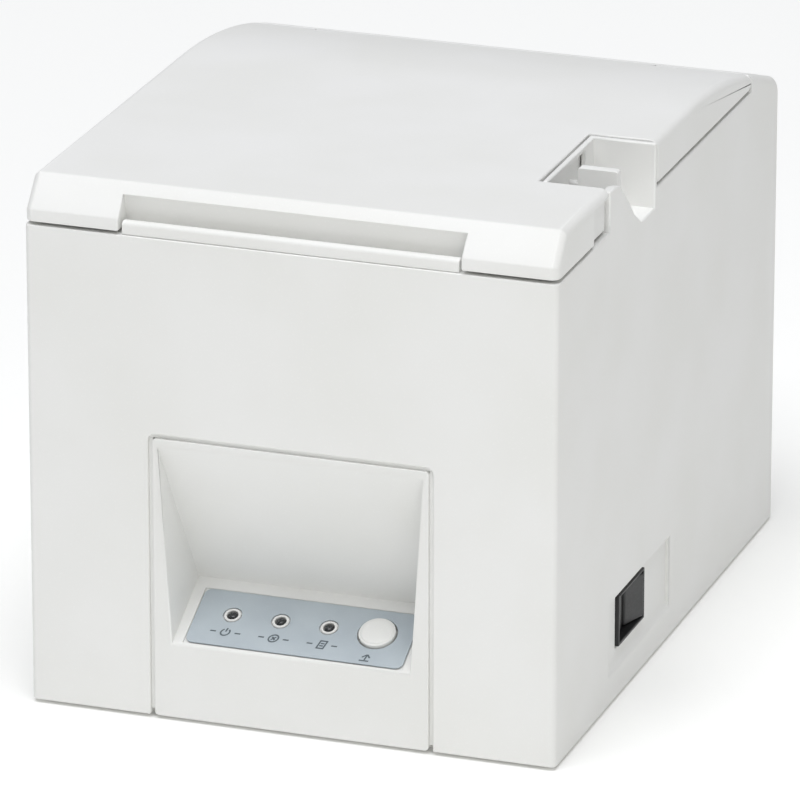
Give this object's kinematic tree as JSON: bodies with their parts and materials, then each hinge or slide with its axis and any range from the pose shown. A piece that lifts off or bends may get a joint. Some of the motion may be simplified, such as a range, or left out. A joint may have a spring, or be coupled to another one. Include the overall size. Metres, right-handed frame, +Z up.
{
  "type": "receipt printer",
  "caption": "Desktop thermal receipt printer with a lift-up paper cover, front paper exit, recessed feed control, cover lever and side power rocker.",
  "frame": {"origin": "middle of the footprint, on the table surface", "axes": "+X to the right seen from the front, +Y towards the rear, +Z up"},
  "size_m": [0.145, 0.195, 0.1455],
  "materials": {
    "case_white": "fine matte moulded ABS, off-white",
    "panel_white": "fine matte moulded ABS, off-white",
    "inner_plastic": "matte moulded ABS, light grey",
    "label_grey": "screen printed film, blue-grey",
    "lens_smoke": "smoked clear light pipe",
    "black_plastic": "satin black",
    "rubber_black": "ground rubber",
    "bright_steel": "ground",
    "zinc_steel": "zinc plated sheet",
    "aluminium": "extruded",
    "ceramic": "glazed ceramic",
    "acetal": "natural acetal",
    "circuit_board": "green solder mask"
  },
  "bodies": {
    "root": {"upper_case": "case_white", "paper_exit_lip": "case_white", "front_panel": "panel_white", "base_plate": "inner_plastic", "paper_bucket": "inner_plastic", "paper_guide": "inner_plastic", "cutter_guide": "inner_plastic", "connector_bay": "inner_plastic", "control_label": "label_grey", "power_light": "lens_smoke", "error_light": "lens_smoke", "paper_light": "lens_smoke", "switch_body": "black_plastic", "paper_sensor": "black_plastic", "cutter_gearbox": "black_plastic", "serial_socket": "black_plastic", "data_socket": "black_plastic", "drawer_socket": "black_plastic", "power_inlet": "black_plastic", "rubber_foot_front_left": "rubber_black", "rubber_foot_front_right": "rubber_black", "rubber_foot_rear_left": "rubber_black", "rubber_foot_rear_right": "rubber_black", "hinge_pin_left": "bright_steel", "hinge_pin_right": "bright_steel", "lever_spring": "bright_steel", "button_spring": "bright_steel", "head_spring_left": "bright_steel", "head_spring_right": "bright_steel", "idler_axle": "bright_steel", "print_frame": "zinc_steel", "feed_motor": "zinc_steel", "cutter_motor": "zinc_steel", "base_screw_front_left": "zinc_steel", "base_screw_front_right": "zinc_steel", "base_screw_rear_left": "zinc_steel", "base_screw_rear_right": "zinc_steel", "head_heat_sink": "aluminium", "thermal_head": "ceramic", "main_board": "circuit_board", "interface_board": "circuit_board", "panel_board": "circuit_board"},
    "cover": {"paper_cover": "case_white", "cover_frame": "inner_plastic", "fixed_blade": "bright_steel", "platen_bush_left": "acetal", "platen_bush_right": "acetal"},
    "lever": {"open_lever": "case_white", "latch_shaft": "bright_steel", "latch_hook_left": "bright_steel", "latch_hook_right": "bright_steel"},
    "button": {"feed_button": "case_white"},
    "rocker": {"power_rocker": "black_plastic"},
    "platen": {"platen_roller": "rubber_black", "platen_shaft": "bright_steel", "platen_gear": "acetal"},
    "idler": {"idler_gear": "acetal"},
    "pinion": {"motor_pinion": "bright_steel"},
    "cutter_blade": {"moving_blade": "bright_steel"}
  },
  "joints": [
    {"name": "cover_hinge", "type": "hinge", "parent": "root", "child": "cover", "pos_m": [0, 0.0676, 0.13636], "axis": [-1, 0, 0], "range_deg": [0, 90]},
    {"name": "lever_pivot", "type": "hinge", "parent": "root", "child": "lever", "pos_m": [0, -0.052, 0.116], "axis": [-1, 0, 0], "range_deg": [0, 16], "stiffness_Nm_per_rad": 0.35, "springref_deg": -5.73},
    {"name": "feed_button_press", "type": "slide", "parent": "root", "child": "button", "axis": [0, 0.4472, -0.8944], "range_m": [0, 0.0008], "stiffness_N_per_m": 300, "springref_m": -0.001},
    {"name": "power_rocker_tilt", "type": "hinge", "parent": "root", "child": "rocker", "pos_m": [0.0703, -0.03155, 0.0211], "axis": [0, 0, 1], "range_deg": [0, 10]},
    {"name": "platen_spin", "type": "hinge", "parent": "cover", "child": "platen", "pos_m": [0, -0.07, 0.126], "axis": [1, 0, 0], "continuous": true},
    {"name": "idler_spin", "type": "hinge", "parent": "root", "child": "idler", "pos_m": [0, -0.07, 0.10908], "axis": [1, 0, 0], "continuous": true},
    {"name": "motor_spin", "type": "hinge", "parent": "root", "child": "pinion", "pos_m": [0, -0.05829, 0.10362], "axis": [1, 0, 0], "continuous": true},
    {"name": "cutter_slide", "type": "slide", "parent": "root", "child": "cutter_blade", "axis": [0, 0, 1], "range_m": [0, 0.009]}
  ],
  "couplings": [
    {"joint": "idler_spin", "follows": "platen_spin", "ratio": -0.90909},
    {"joint": "motor_spin", "follows": "platen_spin", "ratio": 2}
  ]
}
